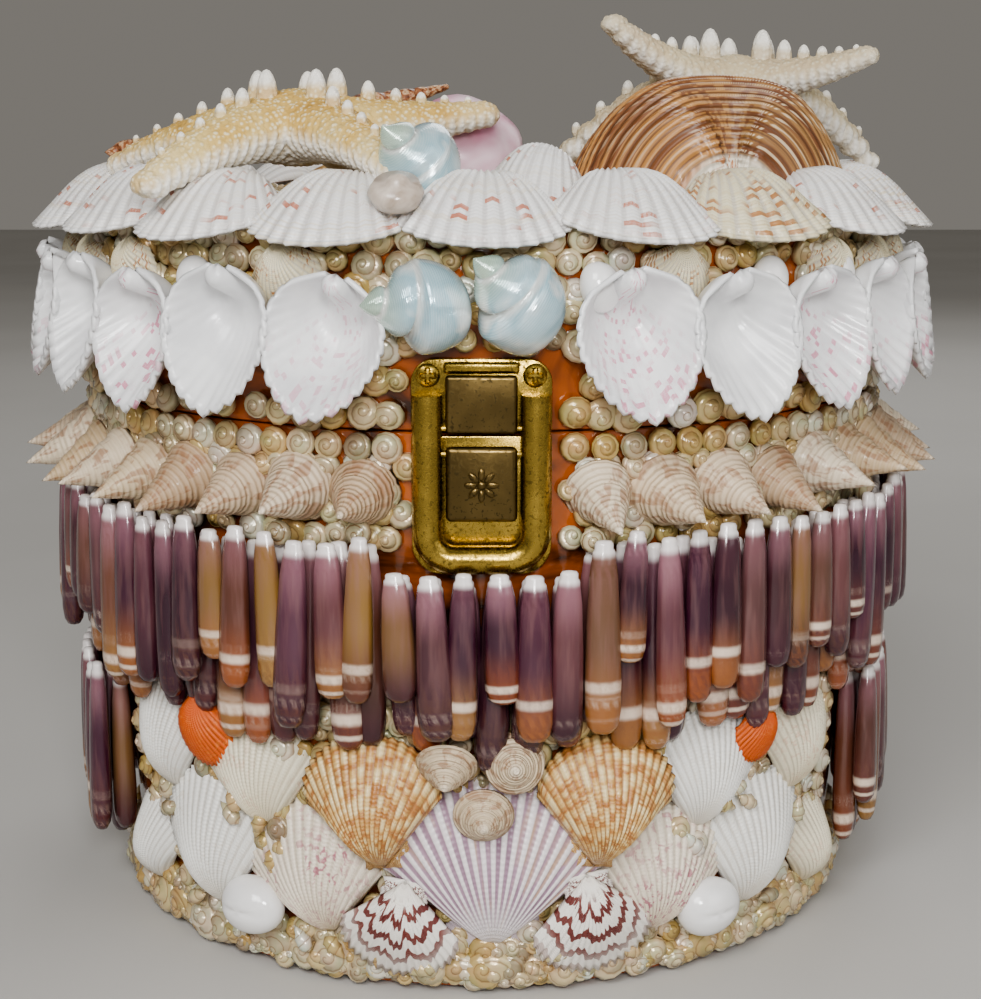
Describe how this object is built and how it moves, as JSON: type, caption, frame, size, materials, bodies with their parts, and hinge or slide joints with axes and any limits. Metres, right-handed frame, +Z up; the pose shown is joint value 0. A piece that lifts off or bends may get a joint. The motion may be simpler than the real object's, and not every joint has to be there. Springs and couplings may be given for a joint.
{
  "type": "shell box",
  "caption": "Round lidded box covered all over with sea shells, urchin spines and starfish, with a brass latch and a back hinge.",
  "frame": {"origin": "centre of the box's underside, on the floor", "axes": "+Z up along the drum axis, the latch faces -Y, +X to the right of the latch"},
  "size_m": [0.3306, 0.3222, 0.3037],
  "materials": {
    "lacquered_wood": "glossy amber lacquer, marbled with dark brown",
    "antique_brass": "antique brass, worn bright on its raised edges",
    "dark_brass": "dark bronzed brass",
    "pearly_snails": "small pearly snails, cream and gold, glossy",
    "blue_nacre": "polished blue-white mother of pearl",
    "urchin_spines": "purple and brown pencil spines with white collars and pale bands",
    "top_shells": "tan and brown mottled, finely ringed",
    "starfish": "dried cream starfish, matt and granular",
    "auger_shell": "brown mottled, semi-gloss",
    "brown_clam": "tan with dark brown patches, ringed",
    "calico_scallop": "cream mottled with orange brown, ribbed",
    "orange_scallop": "orange, ribbed",
    "striped_scallop": "white with maroon zigzag bands, ribbed",
    "pink_shell": "cream flushed with pink",
    "violet_scallop": "white with violet ribs",
    "cream_shell": "cream, ribbed",
    "white_shell": "white, ribbed, some with small red marks"
  },
  "bodies": {
    "box": {"box_body": "lacquered_wood", "seam_beads_right": "pearly_snails", "cone_shells_right": "top_shells", "seam_beads_left": "pearly_snails", "cone_shells_left": "top_shells", "foot_beads": "pearly_snails", "spines_under": "urchin_spines", "spines_outer": "urchin_spines", "spines_sides": "urchin_spines", "limpet_left": "top_shells", "limpet_right": "top_shells", "limpet_low": "top_shells", "scallop_striped_left": "striped_scallop", "scallop_striped_right": "striped_scallop", "scallop_calico_left": "calico_scallop", "scallop_calico_right": "calico_scallop", "scallop_centre": "violet_scallop", "scallop_pink_left": "pink_shell", "scallop_pink_right": "pink_shell", "scallop_orange_left": "orange_scallop", "scallop_orange_right": "orange_scallop", "scallop_cream_left": "cream_shell", "scallop_cream_right": "cream_shell", "scallop_white_left": "white_shell", "scallop_white_right": "white_shell", "scallop_outer_left": "cream_shell", "scallop_outer_right": "cream_shell", "cockle_foot_left": "cream_shell", "cockle_foot_right": "cream_shell", "cowrie_left": "white_shell", "cowrie_right": "white_shell", "latch_base": "antique_brass", "latch_lever_pin": "antique_brass", "latch_tongue_pin": "antique_brass", "hinge_leaf_body": "antique_brass", "hinge_pin": "antique_brass"},
    "lid": {"lid": "lacquered_wood", "lid_edge_fans": "white_shell", "cup_shells_left": "white_shell", "cup_shells_right": "white_shell", "turban_left": "blue_nacre", "turban_right": "blue_nacre", "turban_top": "blue_nacre", "button_snail": "top_shells", "clam": "brown_clam", "starfish_left": "starfish", "starfish_right": "starfish", "cockle_grey": "violet_scallop", "tellin": "pink_shell", "auger_brown": "auger_shell", "auger_red": "auger_shell", "scallop_top_left": "calico_scallop", "scallop_top_right": "white_shell", "latch_strike": "antique_brass", "latch_screw_left": "antique_brass", "latch_screw_right": "antique_brass", "hinge_leaf_lid": "antique_brass"},
    "latch_lever": {"latch_lever": "dark_brass"},
    "latch_tongue": {"latch_tongue": "dark_brass"}
  },
  "joints": [
    {"name": "lid_hinge", "type": "hinge", "parent": "box", "child": "lid", "pos_m": [0, 0.1415, 0.18025], "axis": [-1, 0, 0], "range_deg": [0, 95]},
    {"name": "lever_hinge", "type": "hinge", "parent": "box", "child": "latch_lever", "pos_m": [0, -0.1435, 0.1748], "axis": [-1, 0, 0], "range_deg": [0, 90]},
    {"name": "tongue_hinge", "type": "hinge", "parent": "box", "child": "latch_tongue", "pos_m": [0, -0.1429, 0.1822], "axis": [1, 0, 0], "range_deg": [0, 45]}
  ]
}
